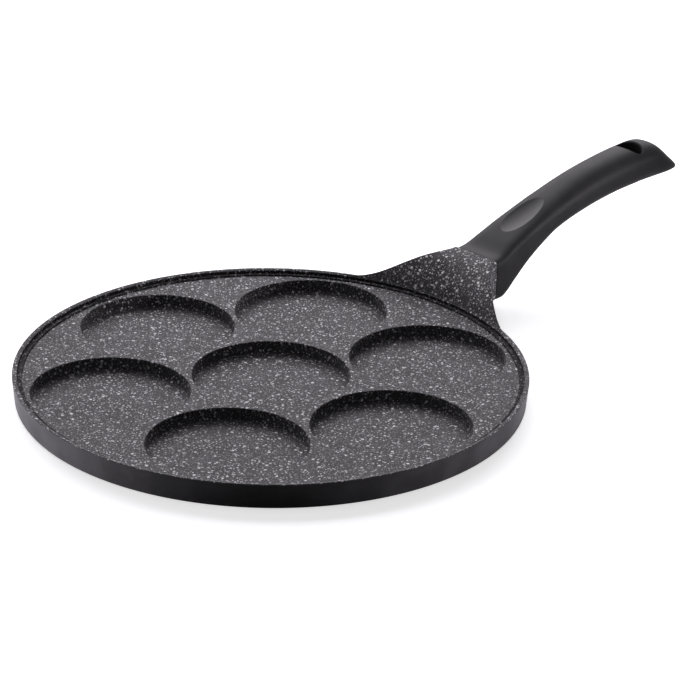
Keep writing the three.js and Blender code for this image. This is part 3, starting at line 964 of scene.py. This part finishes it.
class PANCAKE_OT_base_disc(bpy.types.Operator):
    """Build the perforated steel disc in the base"""

    bl_idname = "pancake_pan.base_disc"
    bl_label = "Base Disc"

    def execute(self, context):
        scene = context.scene
        sizes = scene.pan_fasteners
        steel = [steel_material(scene.pan_finishes)]
        disc = mesh_piece("induction_disc", disc_shape(sizes), steel)
        shaded(disc)
        fitted(disc, "base_disc")
        return {"FINISHED"}


class PANCAKE_OT_stage(bpy.types.Operator):
    """Set up the floor, soft lamps, surroundings and camera"""

    bl_idname = "pancake_pan.stage"
    bl_label = "Stage"

    def execute(self, context):
        scene = context.scene
        stage = scene.pan_stage
        self.floor(stage, scene.pan_finishes)
        self.surroundings(scene, stage)
        sight = Vector(stage.camera_aim) - Vector(stage.camera_place)
        away = Vector((sight.x, sight.y, 0)).normalized()
        right = away.cross(Vector((0, 0, 1)))
        # Each lamp's place to the right, back and up, its width and height in metres, and its power
        lamps = [
            ("key_softbox", -0.17, 1.14, 0.86, 1.8, 0.95, stage.key_power),
            ("left_softbox", -1.25, 0.1, 0.45, 0.8, 0.6, stage.left_power),
            ("handle_softbox", 0.45, 0.14, 0.09, 0.10, 0.16, stage.handle_power),
            ("top_softbox", 0.0, 0.0, 1.4, 1.0, 1.0, stage.top_power),
            ("left_strip", -0.36, 0.08, 0.005, 0.5, 0.008, stage.left_strip_power),
            ("right_strip", 0.42, -0.02, 0.005, 0.3, 0.008, stage.right_strip_power),
        ]
        for name, across, back, up, wide, high, power in lamps:
            place = right * across + away * back + Vector((0, 0, up))
            self.lamp(scene, stage, name, place, wide, high, power)
        self.camera(scene, stage, sight)
        scene.view_settings.view_transform = "Standard"
        return {"FINISHED"}

    def seen(self, path):
        """One where the camera, a reflection or a clear view sees the surface, else zero."""
        tree = path.id_data
        seen = sums(tree, "MAXIMUM", path.outputs["Is Camera Ray"], path.outputs["Is Glossy Ray"])
        return sums(tree, "MAXIMUM", seen, path.outputs["Is Transmission Ray"])

    def floor(self, stage, finishes):
        """A pale floor that keeps the pan's shadow and is clear from below."""
        drop = 0.1 * MM
        near, far = 0.32, 0.8
        bm = bmesh.new()
        place = Matrix.Translation((0, 0, -drop))
        bmesh.ops.create_grid(bm, x_segments=1, y_segments=1, size=stage.floor_size, matrix=place)
        material, tree, coordinates = new_material("pale_floor")
        path = tree.nodes.new("ShaderNodeLightPath")
        direct = path.outputs["Is Camera Ray"]
        colour = mixed(tree, self.seen(path), (*finishes.floor_bounce, 1), (*finishes.floor_white, 1))
        colour = mixed(tree, direct, colour, (*finishes.floor, 1))
        matt = node(tree, "ShaderNodeBsdfDiffuse", Color=colour)
        reach = node(tree, "ShaderNodeVectorMath", {"operation": "LENGTH"}, Vector=coordinates)
        paler = graded(tree, reach.outputs["Value"], near, far, stage.floor_glow, 1)
        strength = sums(tree, "MULTIPLY", direct, paler)
        glow = node(tree, "ShaderNodeEmission", Color=(1, 1, 1, 1), Strength=strength)
        both = tree.nodes.new("ShaderNodeAddShader")
        tree.links.new(matt.outputs["BSDF"], both.inputs[0])
        tree.links.new(glow.outputs["Emission"], both.inputs[1])
        clear = tree.nodes.new("ShaderNodeBsdfTransparent")
        sides = tree.nodes.new("ShaderNodeMixShader")
        back = tree.nodes.new("ShaderNodeNewGeometry").outputs["Backfacing"]
        tree.links.new(back, sides.inputs[0])
        tree.links.new(both.outputs["Shader"], sides.inputs[1])
        tree.links.new(clear.outputs["BSDF"], sides.inputs[2])
        node(tree, "ShaderNodeOutputMaterial", Surface=sides.outputs["Shader"])
        mesh_piece("floor", bm, [material])

    def surroundings(self, scene, stage):
        """White where it is seen, and a soft fill elsewhere."""
        world = bpy.data.worlds.new("studio")
        world.use_nodes = True
        tree = world.node_tree
        tree.nodes.clear()
        path = tree.nodes.new("ShaderNodeLightPath")
        strength = graded(tree, self.seen(path), 0, 1, stage.fill, 1)
        light = node(tree, "ShaderNodeBackground", Color=(1, 1, 1, 1), Strength=strength)
        node(tree, "ShaderNodeOutputWorld", Surface=light.outputs["Background"])
        scene.world = world

    def lamp(self, scene, stage, name, place, wide, high, power):
        """A soft rectangular lamp that faces the pan's middle, or the handle if it is for that."""
        data = bpy.data.lights.new(name, "AREA")
        data.shape = "RECTANGLE"
        data.size, data.size_y = wide, high
        data.energy = power
        data.color = stage.lamp_tint
        lamp = bpy.data.objects.new(name, data)
        aim = Vector()
        if name.endswith("_strip"):
            data.spread = stage.strip_spread
            lamp.visible_glossy = False
        if name == "handle_softbox":
            data.spread = stage.handle_spread
            aim = Vector(stage.handle_aim)
        lamp.location = place
        lamp.visible_camera = False
        lamp.rotation_mode = "QUATERNION"
        lamp.rotation_quaternion = (aim - place).to_track_quat("-Z", "Y")
        scene.collection.objects.link(lamp)

    def camera(self, scene, stage, sight):
        """The photograph's view: a long lens from the front left, slightly rolled."""
        data = bpy.data.cameras.new("camera")
        data.sensor_width = 36
        data.lens = stage.lens
        data.clip_end = 100
        camera = bpy.data.objects.new("camera", data)
        camera.location = stage.camera_place
        camera.rotation_mode = "QUATERNION"
        roll = Quaternion((0, 0, 1), stage.camera_roll)
        camera.rotation_quaternion = sight.to_track_quat("-Z", "Y") @ roll
        scene.collection.objects.link(camera)
        scene.camera = camera


class PANCAKE_PT_sidebar(bpy.types.Panel):
    """The pan's pieces and sizes in the 3D view's sidebar"""

    bl_idname = "PANCAKE_PT_sidebar"
    bl_label = "Pancake Pan"
    bl_space_type = "VIEW_3D"
    bl_region_type = "UI"
    bl_category = "Pancake Pan"

    def draw(self, context):
        for operator in OPERATORS:
            self.layout.operator(operator.bl_idname)
        for name in GROUPS:
            group = getattr(context.scene, name)
            box_layout = self.layout.box()
            for key in group.bl_rna.properties.keys():
                if key not in {"rna_type", "name"}:
                    box_layout.prop(group, key)


GROUPS = {
    "pan_plate": PlateSizes,
    "pan_wells": WellSizes,
    "pan_neck": NeckSizes,
    "pan_handle": HandleSizes,
    "pan_fasteners": FastenerSizes,
    "pan_finishes": Finishes,
    "pan_stage": StageSettings,
}
OPERATORS = [
    PANCAKE_OT_cast_body,
    PANCAKE_OT_handle,
    PANCAKE_OT_fasteners,
    PANCAKE_OT_base_disc,
    PANCAKE_OT_stage,
]


def register():
    """Registers the classes and hangs the sizes on the scene."""
    for kind in [*GROUPS.values(), *OPERATORS, PANCAKE_PT_sidebar]:
        bpy.utils.register_class(kind)
    for name, kind in GROUPS.items():
        setattr(bpy.types.Scene, name, PointerProperty(type=kind))


def unregister():
    """Takes the sizes and classes away again."""
    for name in GROUPS:
        delattr(bpy.types.Scene, name)
    for kind in reversed([*GROUPS.values(), *OPERATORS, PANCAKE_PT_sidebar]):
        bpy.utils.unregister_class(kind)


def main():
    """Builds every piece and the stage."""
    register()
    bpy.ops.pancake_pan.cast_body()
    bpy.ops.pancake_pan.handle()
    bpy.ops.pancake_pan.fasteners()
    bpy.ops.pancake_pan.base_disc()
    bpy.ops.pancake_pan.stage()


if __name__ == "__main__":
    main()
